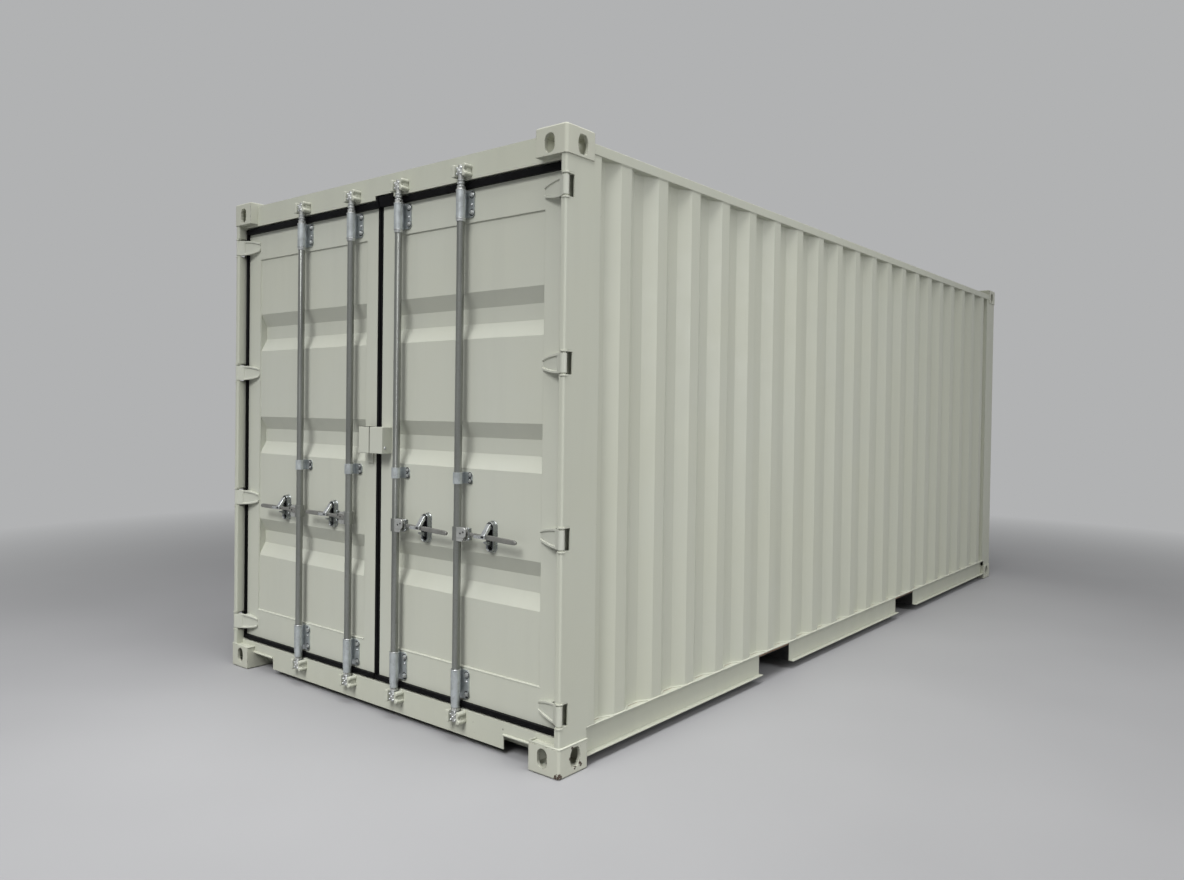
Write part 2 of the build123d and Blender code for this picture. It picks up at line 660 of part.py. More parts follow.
def rod_guides(side):
    """All rod guides of one leaf; the flanges point to the right on both leaves."""
    out = []
    for y in ROD_Y:
        low, high = [rod_guide(side * y, *spans, LEAF_X) for spans in zip(GUIDE_Z, FLANGE_Z)]
        low += guide_neck(side * y)
        middle = rod_guide(side * y, MID_GUIDE_Z, MID_GUIDE_Z, LEAF_X + PANEL_SINK)
        out.extend([low, high, middle])
    return out


def handle_retainer(y, z):
    """Oval cup on the leaf, with a shelf under the handle at z and a catch hanging in its upper half."""
    seat = LEAF_X + PANEL_SINK
    face = seat - RETAINER_DEPTH
    middle = z + RETAINER_Z - HANDLE_Z
    plane = Plane(origin=(seat, y, middle), x_dir=(0, 0, 1), z_dir=(-1, 0, 0))
    cup = extrude(plane * SlotOverall(RETAINER_H, RETAINER_W), RETAINER_DEPTH)
    inside = Plane(origin=(seat - 6, y, middle), x_dir=(0, 0, 1), z_dir=(-1, 0, 0))
    cup -= extrude(inside * SlotOverall(RETAINER_H - 20, RETAINER_W - 20), RETAINER_DEPTH)
    low = z - HANDLE_W / 2 - 5
    shelf = across(
        [(seat - 3, low), (HANDLE_FRONT + 1, low), (HANDLE_FRONT + 1, low - 7), (seat - 3, low - 34)],
        y - 15, y + 15,
    )
    catch = across(
        [(face + 8, z + 44), (face - 4, z + 40), (HANDLE_BACK + 7, z + 12), (HANDLE_BACK + 7, z - 4),
         (face - 2, z - 4), (seat - 3, z + 20), (seat - 3, z + 44)],
        y - 11, y + 11,
    )
    return cup + shelf + catch


def lock_box_half(width, open_top):
    """One half of the padlock box on the left leaf, open below."""
    t = 4.0
    z0, z1 = LOCK_BOX_Z
    y0, y1 = GASKET_GAP, width
    half = box(LOCK_BOX_X, LOCK_BOX_X + t, y0, y1, z0, z1)
    half += box(LOCK_BOX_X, LEAF_X, y1 - t, y1, z0, z1)
    if open_top:
        half += box(LOCK_BOX_X, LEAF_X, y1 - t - 14, y1 - t, z1 - t, z1)
    else:
        half += box(LOCK_BOX_X, GASKET_FRONT - 2, y0, y1, z1 - t, z1)
        half += box(LOCK_BOX_X, LEAF_X, LEAF_MEET + 4, y1, z1 - t, z1)
    return half


# Locking rods and handles, built at a rod centre of y on the side given

def lock_rod(y, side):
    """Rod with its two cams, end collars and the clevis that holds the handle."""
    low, high = GUIDE_NECK_Z, GUIDE_Z[1][1]
    rod = Pos(ROD_X, y, (low + high) / 2) * Cylinder(ROD_R, high - low)
    for z, way in ((low, -1), (high, 1)):
        end = ROD_Z0 if way < 0 else ROD_Z1
        start = z + way * NUT_GAP
        stem = Pos(ROD_X, y, (z + end) / 2) * Cylinder(STEM_R, abs(end - z))
        nut = extrude(Pos(ROD_X, y, min(start, start + way * NUT_H)) * RegularPolygon(NUT_R, 6), NUT_H)
        rod += stem + nut
    for z in KEEPER_Z:
        rod += cam(y, z)
    return rod + clevis(y, side)


def cam(y, z):
    """Cam of a rod: four blunt teeth, two towards each horn of the keeper."""
    outline = []
    for middle in (40, 140, 220, 320):
        for turn, r in ((-34, 14.6), (-21, CAM_R), (21, CAM_R), (34, 14.6)):
            a = math.radians(middle + turn)
            outline.append((ROD_X + r * math.cos(a), y + r * math.sin(a)))
    return upright(outline, z - CAM_H / 2, z + CAM_H / 2)


def clevis(y, side):
    """Forged head on the rod: a block with a slot, crossed by the pin of the handle."""
    half = CLEVIS_H / 2
    wide = GUIDE_NECK_R - 2.5
    hub = Box(2 * GUIDE_NECK_R, 2 * GUIDE_NECK_R, CLEVIS_H)
    hub = chamfer(hub.edges().filter_by(Axis.Z), 10.0)
    arm = Pos(0, side * CLEVIS_REACH / 2, 0) * Box(2 * wide, CLEVIS_REACH, CLEVIS_H)
    arm = chamfer(arm.edges().filter_by(Axis.X), 9.0)
    head = Pos(ROD_X, y, HANDLE_Z) * (hub + arm)
    slot_y0, slot_y1 = sorted((y + side * (ROD_R + 1.5), y + side * (CLEVIS_REACH + 5)))
    head -= box(HANDLE_FRONT - CLEVIS_GAP, HANDLE_BACK + CLEVIS_GAP, slot_y0, slot_y1, HANDLE_Z - half - 1, HANDLE_Z + half + 1)
    pin_y = y + side * HANDLE_PIN
    pin = Pos(ROD_X, pin_y, HANDLE_Z) * Rot(0, 90, 0) * Cylinder(PIN_R_HANDLE, 2 * GUIDE_NECK_R - 8)
    return head + pin


def handle(y, side):
    """Flat handle on the clevis pin: an eye, a necked shank and a rounded grip."""
    eye_y = HANDLE_PIN
    neck, grip = HANDLE_W * 0.3, HANDLE_W / 2
    tip = HANDLE_L
    upper = [(eye_y, 13.0), (eye_y + 30, neck + 1), (eye_y + 66, neck), (eye_y + 96, grip), (tip - 8, grip), (tip, grip - 7)]
    lower = [(a, -b) for a, b in reversed(upper)]
    points = [(y + side * a, HANDLE_Z + b) for a, b in upper + lower]
    bar = lengthways(points, HANDLE_FRONT, HANDLE_BACK)
    middle = (HANDLE_FRONT + HANDLE_BACK) / 2
    eye = Pos(middle, y + side * eye_y, HANDLE_Z) * Rot(0, 90, 0) * Cylinder(13.0, HANDLE_BACK - HANDLE_FRONT)
    bore = Pos(middle, y + side * eye_y, HANDLE_Z) * Rot(0, 90, 0) * Cylinder(PIN_R_HANDLE + 0.3, 30)
    whole = bar + eye - bore
    if side > 0:
        return whole
    pin = Axis((middle, y + side * eye_y, HANDLE_Z), (1, 0, 0))
    return whole.rotate(pin, RIGHT_DROOP)


def build():
    os.makedirs("parts", exist_ok=True)
    corner_castings()
    rail = channel_rail()
    save("bottom_side_rails", *rail, *[mirrored_y(plate) for plate in rail])
    save("cross_members", *cross_members())
    save("forklift_pockets", *[plate for x in POCKET_X for plate in fork_pocket(x)])
    save("floor_boards", *floor_boards())
    save("left_side_wall", side_wall())
    save("right_side_wall", mirrored_y(side_wall()))
    save("front_wall", front_wall())
    save("top_side_rails", *both_sides(top_side_rail()))
    save("front_top_rail", front_top_rail())
    save("front_bottom_rail", front_bottom_rail())
    save("roof_panel", roof_panel())
    save("rear_posts", *both_sides(rear_post()))
    save("rear_post_channels", *both_sides(post_channel()))
    save("front_posts", *both_sides(front_post()))
    save("door_header", door_header())
    save("door_sill", door_sill())
    save("bottom_keepers", *keepers(KEEPER_Z[0]))
    save("top_keepers", *keepers(KEEPER_Z[1]))
    lugs = [hinge_lug_pair(z) for z in HINGE_Z]
    save("hinge_lugs", *lugs, *[mirrored_y(lug) for lug in lugs])

    blades = [hinge_blade(z) for z in HINGE_Z]
    frame, panel = leaf_frame(), leaf_panel()
    save("left_door_frame", frame)
    save("left_door_panel", panel)
    save("left_door_gasket", leaf_gasket(18.0))
    save("left_hinge_blades", *blades)
    save("left_rod_guides", *rod_guides(1))
    save("left_handle_retainers", *[handle_retainer(y + RETAINER_OFF, HANDLE_Z) for y in ROD_Y])
    save("left_lock_box", lock_box_half(LOCK_BOX_LEFT, True))
    save("right_door_frame", mirrored_y(frame))
    save("right_door_panel", mirrored_y(panel))
    save("right_door_gasket", mirrored_y(leaf_gasket(TAB_Y)))
    save("right_hinge_blades", *[mirrored_y(blade) for blade in blades])
    save("right_rod_guides", *rod_guides(-1))
    right_z = HANDLE_Z - (RETAINER_OFF - HANDLE_PIN) * math.tan(math.radians(RIGHT_DROOP))
    save("right_handle_retainers", *[handle_retainer(-y - RETAINER_OFF, right_z) for y in ROD_Y])
    save("right_lock_box", mirrored_y(lock_box_half(LOCK_BOX_RIGHT, False)))

    for side, hand in ((1, "left"), (-1, "right")):
        for y, place in zip(ROD_Y, ("outer", "inner")):
            save(f"{hand}_{place}_lock_rod", lock_rod(side * y, side))
            save(f"{hand}_{place}_handle", handle(side * y, side))


build()
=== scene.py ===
import json
import math

import bmesh
import bpy
from mathutils import Matrix, Vector

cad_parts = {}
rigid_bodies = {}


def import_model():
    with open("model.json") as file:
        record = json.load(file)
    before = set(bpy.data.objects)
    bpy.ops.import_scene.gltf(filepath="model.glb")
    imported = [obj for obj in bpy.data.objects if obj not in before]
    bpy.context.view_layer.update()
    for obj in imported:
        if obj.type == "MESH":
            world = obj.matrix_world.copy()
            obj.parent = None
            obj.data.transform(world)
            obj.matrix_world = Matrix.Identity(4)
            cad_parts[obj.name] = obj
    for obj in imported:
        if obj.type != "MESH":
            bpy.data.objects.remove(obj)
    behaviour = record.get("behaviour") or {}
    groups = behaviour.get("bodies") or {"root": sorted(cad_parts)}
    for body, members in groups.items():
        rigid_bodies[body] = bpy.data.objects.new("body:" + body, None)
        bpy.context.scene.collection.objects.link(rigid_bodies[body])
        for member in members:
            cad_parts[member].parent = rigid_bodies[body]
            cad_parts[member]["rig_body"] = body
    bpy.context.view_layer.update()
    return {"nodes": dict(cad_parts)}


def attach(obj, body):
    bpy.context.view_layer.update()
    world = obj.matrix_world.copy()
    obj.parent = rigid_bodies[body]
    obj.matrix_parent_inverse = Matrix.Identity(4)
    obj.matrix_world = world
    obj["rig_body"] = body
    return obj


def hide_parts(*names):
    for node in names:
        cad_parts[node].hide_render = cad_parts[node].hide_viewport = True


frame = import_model()
cad = frame["nodes"]

MM = 0.001

# Sizes in millimetres, the same as the solids have
LENGTH, WIDTH = 6058.0, 2438.0
DOOR_END, SIDE = -LENGTH / 2, WIDTH / 2
LEAF_X = -2965.0
PANEL_X, PANEL_Y, PANEL_Z = -2959.0, (105.0, 1055.0), (320.0, 2279.0)
FACE_X = -2983.0
HINGE_X, HINGE_Y = -3012.0, 1202.0
HINGE_Z = (250.0, 950.0, 1650.0, 2350.0)
ROD_X, ROD_R = -3006.0, 17.0
ROD_Y = (600.0, 180.0)
GUIDE_Z = ((209.0, 318.0), (2296.0, 2414.0))
PLATE_Z = ((186.0, 314.0), (2301.0, 2419.0))
MID_GUIDE_Z = (1136.0, 1186.0)
GUIDE_R, GUIDE_FLANGE, GUIDE_T = 22.0, 46.0, 7.0
KEEPER_Z = (112.0, 2499.0)
HANDLE_Z, HANDLE_PIN = 918.0, 40.0
HANDLE_FRONT, HANDLE_BACK, HANDLE_W = -3014.0, -3004.0, 28.0
RETAINER_OFF = 175.0
DROOP = math.radians(2.3)
HANDS = ((1, "left"), (-1, "right"))
RODS = [(side, hand, place, y) for side, hand in HANDS for place, y in zip(("outer", "inner"), ROD_Y)]


# Materials

def link_or_set(tree, socket, value):
    if isinstance(value, bpy.types.NodeSocket):
        tree.links.new(value, socket)
    else:
        socket.default_value = value


def put(tree, kind, inputs=None, **settings):
    """One node with its settings and inputs; an input is a number or another node's output."""
    node = tree.nodes.new("ShaderNode" + kind)
    for key, value in settings.items():
        setattr(node, key, value)
    for key, value in (inputs or {}).items():
        link_or_set(tree, node.inputs[key], value)
    return node


def start(name):
    mat = bpy.data.materials.new(name)
    mat.use_nodes = True
    tree = mat.node_tree
    coords = put(tree, "TexCoord").outputs["Object"]
    return mat, tree, tree.nodes["Principled BSDF"], coords


def grain(tree, coords, scale, detail=3.0, stretch=None, rough=0.55):
    if stretch:
        coords = put(tree, "Mapping", {"Vector": coords, "Scale": stretch}).outputs["Vector"]
    settings = {"Vector": coords, "Scale": scale, "Detail": detail, "Roughness": rough}
    return put(tree, "TexNoise", settings).outputs["Fac"]


def remap(tree, value, a, b, c=0.0, d=1.0):
    settings = {"Value": value, "From Min": a, "From Max": b, "To Min": c, "To Max": d}
    return put(tree, "MapRange", settings).outputs["Result"]


def calc(tree, operation, a, b):
    node = put(tree, "Math", operation=operation)
    link_or_set(tree, node.inputs[0], a)
    link_or_set(tree, node.inputs[1], b)
    return node.outputs[0]


def tint(tree, factor, a, b, mode="MIX"):
    node = put(tree, "Mix", data_type="RGBA", blend_type=mode)
    for index, value in ((0, factor), (6, a), (7, b)):
        if isinstance(value, tuple):
            value = (*value, 1.0)
        link_or_set(tree, node.inputs[index], value)
    return node.outputs[2]


def rounded(tree, radius):
    return put(tree, "Bevel", {"Radius": radius}, samples=4).outputs["Normal"]


def raised(tree, height, strength, distance, normal=None):
    settings = {"Height": height, "Strength": strength, "Distance": distance}
    if normal is not None:
        settings["Normal"] = normal
    return put(tree, "Bump", settings).outputs["Normal"]


def edge_mask(tree, radius, low, high):
    """1 along convex and concave edges, 0 on flats."""
    soft = put(tree, "Bevel", {"Radius": radius}, samples=6).outputs["Normal"]
    true = put(tree, "NewGeometry").outputs["Normal"]
    node = put(tree, "VectorMath", operation="DOT_PRODUCT")
    link_or_set(tree, node.inputs[0], soft)
    link_or_set(tree, node.inputs[1], true)
    return remap(tree, node.outputs["Value"], high, low)


def spots(tree, coords, places):
    """1 near any of the places, each (x, y, z, radius) in millimetres."""
    total = None
    for x, y, z, r in places:
        node = put(tree, "VectorMath", operation="DISTANCE")
        link_or_set(tree, node.inputs[0], coords)
        node.inputs[1].default_value = (x * MM, y * MM, z * MM)
        near = remap(tree, node.outputs["Value"], r * MM, r * 0.4 * MM)
        total = near if total is None else calc(tree, "MAXIMUM", total, near)
    return total


BARE = (0.045, 0.03, 0.022)


def paint(name, colour, edge=0.0022, wear=0.0, places=(), waviness=1.0):
    """Satin paint on sheet steel: faint patches, run-down streaks, sheet waviness and chips."""
    mat, tree, shader, coords = start(name)
    dark = tuple(c * 0.86 for c in colour)
    warm = (colour[0] * 1.01, colour[1], colour[2] * 0.94)
    patches = remap(tree, grain(tree, coords, 1.7, 4.0), 0.32, 0.7)
    streaks = remap(tree, grain(tree, coords, 9.0, 4.0, (1.0, 1.0, 0.09), 0.6), 0.48, 0.82)
    specks = remap(tree, grain(tree, coords, 55.0, 5.0, None, 0.65), 0.6, 0.78)
    base = tint(tree, calc(tree, "MULTIPLY", patches, 0.45), colour, warm)
    base = tint(tree, calc(tree, "MULTIPLY", streaks, 0.3), base, dark)
    base = tint(tree, calc(tree, "MULTIPLY", specks, 0.2), base, dark)
    rough = remap(tree, grain(tree, coords, 12.0, 4.0), 0.3, 0.7, 0.36, 0.5)
    sheet = grain(tree, coords, 2.3, 2.0)
    peel = grain(tree, coords, 420.0, 2.0)
    normal = rounded(tree, edge)
    normal = raised(tree, sheet, 0.35 * waviness, 0.006, normal)
    normal = raised(tree, peel, 0.1, 0.0004, normal)
    if wear or places:
        chips = grain(tree, coords, 48.0, 6.0, None, 0.7)
        mask = None
        if wear:
            edges = edge_mask(tree, 0.006, 0.8, 0.985)
            limit = remap(tree, edges, 0.0, 1.0, 0.95, 0.66 - wear * 0.14)
            mask = calc(tree, "GREATER_THAN", chips, limit)
        if places:
            near = spots(tree, coords, places)
            limit = remap(tree, near, 0.0, 1.0, 1.0, 0.47)
            local = calc(tree, "GREATER_THAN", chips, limit)
            mask = local if mask is None else calc(tree, "MAXIMUM", mask, local)
        rust = tint(tree, grain(tree, coords, 160.0, 3.0), BARE, (0.075, 0.05, 0.034))
        base = tint(tree, mask, base, rust)
        rough = calc(tree, "MAXIMUM", rough, calc(tree, "MULTIPLY", mask, 0.75))
        normal = raised(tree, calc(tree, "SUBTRACT", 1.0, mask), 0.6, 0.0006, normal)
    tree.links.new(base, shader.inputs["Base Color"])
    tree.links.new(rough, shader.inputs["Roughness"])
    tree.links.new(normal, shader.inputs["Normal"])
    shader.inputs["Specular IOR Level"].default_value = 0.42
    return mat


def zinc(name, colour, stretch=None, edge=0.0012, low=0.3, high=0.5, metal=0.85):
    """Galvanised steel: cloudy grey, drawn lines where it is rolled, duller spots."""
    mat, tree, shader, coords = start(name)
    cloud = remap(tree, grain(tree, coords, 26.0, 5.0, stretch, 0.6), 0.32, 0.7)
    cells = put(tree, "TexVoronoi", {"Vector": coords, "Scale": 190.0})
    fleck = remap(tree, cells.outputs["Distance"], 0.1, 0.7)
    dull = remap(tree, grain(tree, coords, 60.0, 4.0), 0.55, 0.75)
    base = tint(tree, cloud, tuple(c * 0.72 for c in colour), colour)
    base = tint(tree, calc(tree, "MULTIPLY", fleck, 0.18), base, tuple(min(1.0, c * 1.25) for c in colour))
    base = tint(tree, calc(tree, "MULTIPLY", dull, 0.35), base, (0.2, 0.19, 0.17))
    rough = remap(tree, calc(tree, "ADD", cloud, calc(tree, "MULTIPLY", dull, 0.6)), 0.0, 1.4, low, high)
    normal = raised(tree, grain(tree, coords, 240.0, 3.0, stretch), 0.16, 0.0006, rounded(tree, edge))
    tree.links.new(base, shader.inputs["Base Color"])
    tree.links.new(rough, shader.inputs["Roughness"])
    tree.links.new(normal, shader.inputs["Normal"])
    shader.inputs["Metallic"].default_value = metal
    return mat


def rubber(name):
    mat, tree, shader, coords = start(name)
    dust = remap(tree, grain(tree, coords, 18.0, 5.0, (1.0, 1.0, 0.4), 0.65), 0.45, 0.8)
    base = tint(tree, calc(tree, "MULTIPLY", dust, 0.4), (0.0035, 0.0035, 0.004), (0.014, 0.014, 0.017))
    rough = remap(tree, grain(tree, coords, 40.0, 3.0), 0.3, 0.7, 0.38, 0.62)
    normal = raised(tree, grain(tree, coords, 300.0, 3.0), 0.12, 0.0005, rounded(tree, 0.002))
    tree.links.new(base, shader.inputs["Base Color"])
    tree.links.new(rough, shader.inputs["Roughness"])
    tree.links.new(normal, shader.inputs["Normal"])
    shader.inputs["Specular IOR Level"].default_value = 0.06
    return mat


def plywood(name):
    """Sealed hardwood plywood, its grain along the container."""
    mat, tree, shader, coords = start(name)
    lines = grain(tree, coords, 9.0, 6.0, (0.6, 9.0, 9.0), 0.7)
    bands = grain(tree, coords, 2.2, 3.0, (0.5, 3.0, 3.0))
    base = tint(tree, remap(tree, lines, 0.35, 0.68), (0.2, 0.1, 0.05), (0.42, 0.25, 0.14))
    base = tint(tree, remap(tree, bands, 0.4, 0.7, 0.0, 0.45), base, (0.16, 0.09, 0.05))
    scuffs = remap(tree, grain(tree, coords, 14.0, 5.0, (0.3, 2.0, 2.0), 0.7), 0.6, 0.72, 0.0, 0.35)
    base = tint(tree, scuffs, base, (0.38, 0.33, 0.28))
    rough = remap(tree, lines, 0.3, 0.7, 0.42, 0.62)
    tree.links.new(base, shader.inputs["Base Color"])
    tree.links.new(rough, shader.inputs["Roughness"])
    tree.links.new(raised(tree, lines, 0.3, 0.0008, rounded(tree, 0.002)), shader.inputs["Normal"])
    return mat


def coating(name):
    """Black waxy coating under the floor."""
    mat, tree, shader, coords = start(name)
    cloud = remap(tree, grain(tree, coords, 12.0, 5.0), 0.35, 0.7)
    base = tint(tree, cloud, (0.012, 0.012, 0.013), (0.045, 0.043, 0.04))
    rough = remap(tree, grain(tree, coords, 30.0, 3.0), 0.3, 0.7, 0.5, 0.75)
    normal = raised(tree, grain(tree, coords, 120.0, 4.0), 0.4, 0.0015, rounded(tree, 0.002))
    tree.links.new(base, shader.inputs["Base Color"])
    tree.links.new(rough, shader.inputs["Roughness"])
    tree.links.new(normal, shader.inputs["Normal"])
    return mat


CREAM = (0.545, 0.56, 0.48)
CREAM_PAINT = paint("cream_paint", CREAM)
DOOR_PAINT = paint("door_paint", (0.555, 0.57, 0.5))
CAST_PAINT = paint(
    "casting_paint", (0.55, 0.56, 0.48), 0.003, 1.0,
    ((-3024, -1212, 8, 40), (-2896, -1219, 30, 22), (-2900, -1219, 104, 16), (-2946, -1219, 108, 14),
     (-2958, -1219, 70, 14), (-2927, -1219, 28, 20)),
    0.0,
)
SILL_PAINT = paint(
    "sill_paint", CREAM, 0.0025, 0.35,
    ((-2983, -870, 112, 10), (-2983, -700, 60, 8), (-2983, -690, 100, 8), (-2983, -520, 70, 9)),
)
POST_PAINT = paint("post_paint", CREAM, 0.0025, 0.15)
ZINC = zinc("zinc_steel", (0.56, 0.6, 0.61), None, 0.0012, 0.3, 0.5, 0.7)
ZINC_ROD = zinc("zinc_rod", (0.3, 0.31, 0.29), (1.0, 1.0, 0.08), 0.001, 0.3, 0.42, 0.9)
ZINC_FORGED = zinc("zinc_forged", (0.5, 0.51, 0.49), None, 0.0015, 0.34, 0.55, 0.6)
ZINC_GRIP = zinc("zinc_grip", (0.27, 0.27, 0.25), None, 0.0015, 0.36, 0.6, 0.55)
ZINC_CUP = zinc("zinc_cup", (0.33, 0.35, 0.35), None, 0.0012, 0.22, 0.42, 0.85)
ZINC_BOLT = zinc("zinc_bolt", (0.62, 0.64, 0.64), None, 0.0008, 0.25, 0.4)
RUBBER = rubber("black_rubber")
PLYWOOD = plywood("plywood")
COATING = coating("underside_coating")
# Near-black material for painted shade: it stands in for the shade in holes, in the lock box's mouth and
# round bolt heads
SHADE_BLACK = rubber("painted_shade_black")


# Shapes, built in millimetres

def finish_mesh(name, bm, material, body, bevel=0.0, segments=2, smooth=40.0):
    bmesh.ops.scale(bm, vec=(MM, MM, MM), verts=bm.verts)
    return finish_metres(name, bm, material, body, bevel, segments, smooth)


def finish_metres(name, bm, material, body, bevel=0.0, segments=2, smooth=40.0):
    bmesh.ops.recalc_face_normals(bm, faces=bm.faces)
    mesh = bpy.data.meshes.new(name)
    bm.to_mesh(mesh)
    bm.free()
    mesh.materials.append(material)
    for face in mesh.polygons:
        face.use_smooth = True
    mesh.set_sharp_from_angle(angle=math.radians(smooth))
    obj = bpy.data.objects.new(name, mesh)
    bpy.context.scene.collection.objects.link(obj)
    if bevel:
        edges = obj.modifiers.new("edges", "BEVEL")
        edges.width = bevel * MM
        edges.segments = segments
        edges.limit_method = "ANGLE"
        edges.angle_limit = math.radians(32)
        edges.miter_outer = "MITER_ARC"
        edges.harden_normals = True
    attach(obj, body)
    return obj


def refined(node, material, bevel, segments=2, second=None, smooth=40.0):
    """A solid's shape again with rounded edges; second is another material and the test for its places."""
    source = cad[node]
    bm = bmesh.new()
    bm.from_mesh(source.data)
    bmesh.ops.remove_doubles(bm, verts=bm.verts, dist=1e-5)
    bmesh.ops.dissolve_limit(bm, angle_limit=math.radians(1.5), verts=bm.verts, edges=bm.edges)
    if second:
        for face in bm.faces:
            face.material_index = 1 if second[1](face.calc_center_median() / MM) else 0
    body, slot = source["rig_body"], slot_of(node)
    obj = finish_metres(node + "_finished", bm, material, body, bevel, segments, smooth)
    if second:
        obj.data.materials.append(second[0])
    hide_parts(node)
    return obj


def slot_of(node):
    if "gasket" in node:
        return "black_rubber"
    if "rod" in node or "handle" in node:
        return "zinc_steel"
    return "cream_paint"


def turned(bm, profile, segments, at, axis=(0, 0, 1), phase=0.0):
    """A closed turned shape: profile points are (radius, height) along the axis from the point."""
    turn = Vector((0, 0, 1)).rotation_difference(Vector(axis)).to_matrix()
    rings = []
    for r, h in profile:
        if r <= 0:
            rings.append([bm.verts.new(Vector(at) + turn @ Vector((0, 0, h)))])
            continue
        ring = []
        for i in range(segments):
            a = phase + 2 * math.pi * i / segments
            ring.append(bm.verts.new(Vector(at) + turn @ Vector((r * math.cos(a), r * math.sin(a), h))))
        rings.append(ring)
    for low, high in zip(rings, rings[1:]):
        for i in range(segments):
            j = (i + 1) % segments
            corners = [low[i % len(low)], low[j % len(low)], high[j % len(high)], high[i % len(high)]]
            unique = []
            for corner in corners:
                if corner not in unique:
                    unique.append(corner)
            bm.faces.new(unique)
    for ring in (rings[0], rings[-1]):
        if len(ring) > 1:
            bm.faces.new(ring)


def hex_bolt(bm, at, axis, flats, height, washer=1.7):
    """Hexagon head with its chamfer on a round washer."""
    r = flats / math.sqrt(3)
    turned(bm, [(r * washer, 0), (r * washer, 1.6), (0, 1.6)], 24, at, axis)
    base = Vector(at) + Vector(axis) * 1.6
    turned(bm, [(r, 0), (r, height * 0.75), (r * 0.86, height), (0, height)], 6, base, axis, 0.3)


def dome(bm, at, axis, r, height, segments=16):
    profile = [(r, 0.0)]
    for i in range(1, 5):
        a = math.pi / 2 * i / 5
        profile.append((r * math.cos(a), height * math.sin(a)))
    profile.append((0, height))
    turned(bm, profile, segments, at, axis)


def ring(bm, at, axis, r, hole, height, segments=32):
    """A flat ring with softened rims."""
    c = min(1.2, height * 0.3)
    profile = [(hole, 0), (r - c, 0), (r, c), (r, height - c), (r - c, height), (hole, height), (hole, 0)]
    turn = Vector((0, 0, 1)).rotation_difference(Vector(axis)).to_matrix()
    loops = []
    for q, h in profile[:-1]:
        loop = []
        for i in range(segments):
            a = 2 * math.pi * i / segments
            loop.append(bm.verts.new(Vector(at) + turn @ Vector((q * math.cos(a), q * math.sin(a), h))))
        loops.append(loop)
    for k in range(len(loops)):
        low, high = loops[k], loops[(k + 1) % len(loops)]
        for i in range(segments):
            j = (i + 1) % segments
            bm.faces.new([low[i], low[j], high[j], high[i]])


def slab(bm, outline, lo, hi, axis):
    """An outline carried along X, Y or Z between two levels."""
    order = {
        "X": lambda a, b, h: (h, a, b),
        "Y": lambda a, b, h: (a, h, b),
        "Z": lambda a, b, h: (a, b, h),
    }[axis]
    low = [bm.verts.new(order(a, b, lo)) for a, b in outline]
    high = [bm.verts.new(order(a, b, hi)) for a, b in outline]
    bm.faces.new(low)
    bm.faces.new(high[::-1])
    for i in range(len(outline)):
        j = (i + 1) % len(outline)
        bm.faces.new([low[i], low[j], high[j], high[i]])


def beads(name, paths, radius, material, body):
    """Round beads along paths in millimetres."""
    curve = bpy.data.curves.new(name, "CURVE")
    curve.dimensions = "3D"
    curve.bevel_depth = radius * MM
    curve.bevel_resolution = 2
    curve.use_fill_caps = True
    for path in paths:
        line = curve.splines.new("POLY")
        line.points.add(len(path) - 1)
        for point, place in zip(line.points, path):
            point.co = (place[0] * MM, place[1] * MM, place[2] * MM, 1.0)
    curve.materials.append(material)
    obj = bpy.data.objects.new(name, curve)
    bpy.context.scene.collection.objects.link(obj)
    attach(obj, body)
    return obj


# What each solid that stays is finished with

FINISH = {
    "floor_boards": PLYWOOD,
    "cross_members": COATING,
    "forklift_pockets": COATING,
    "door_sill": SILL_PAINT,
    "rear_posts": POST_PAINT,
    "left_door_frame": DOOR_PAINT,
    "right_door_frame": DOOR_PAINT,
    "left_door_panel": DOOR_PAINT,
    "right_door_panel": DOOR_PAINT,
}
for node, obj in cad.items():
    obj.data.materials.clear()
    if node in FINISH:
        material = FINISH[node]
    elif "gasket" in node:
        material = RUBBER
    elif "rod" in node or "handle" in node:
        material = ZINC
    elif "casting" in node:
        material = CAST_PAINT
    else:
        material = CREAM_PAINT
    obj.data.materials.append(material)


# Ironwork again with rounded edges

DRAWN_Z = (155.0, 2414.0)


def forged_part(y):
    """Tells the clevis arm and the ends of a rod from its drawn bar."""
    return lambda p: not DRAWN_Z[0] < p.z < DRAWN_Z[1] or abs(p.y - y) > ROD_R + 6


refined("top_corner_castings", CAST_PAINT, 8.0, 4)
refined("bottom_corner_castings", CAST_PAINT, 6.0, 3)
refined("hinge_lugs", POST_PAINT, 2.0, 2)
for side, hand in HANDS:
    refined(f"{hand}_rod_guides", ZINC, 2.2, 3)
    refined(f"{hand}_lock_box", DOOR_PAINT, 2.0, 3)
    for place, y in zip(("outer", "inner"), ROD_Y):
        refined(f"{hand}_{place}_lock_rod", ZINC_ROD, 1.5, 2, (ZINC_FORGED, forged_part(side * y)))


# Keepers and cam claws

HORN = (
    (23.5, -28), (35, -30), (45, -25), (46, -14), (36, -5),
    (36, 5), (46, 14), (45, 25), (35, 30), (23.5, 28),
)
WAIST = ((23.5, -13), (31, -20), (41, -20), (41, 20), (31, 20), (23.5, 13))
HORN_X = -3027.0


def keepers(name, z):
    """Two horns beside each rod end, each forged with an upper and a lower lobe."""
    bm = bmesh.new()
    for y in (ROD_Y[0], ROD_Y[1], -ROD_Y[1], -ROD_Y[0]):
        for side in (-1, 1):
            slab(bm, [(y + side * a, z + b * 0.95) for a, b in HORN], HORN_X, FACE_X + 1, "X")
            slab(bm, [(y + side * a, z + b) for a, b in WAIST], HORN_X + 13, FACE_X + 1, "X")
    horns = finish_mesh(name + "_forged", bm, CREAM_PAINT, "frame", 4.5, 4)
    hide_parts(name)


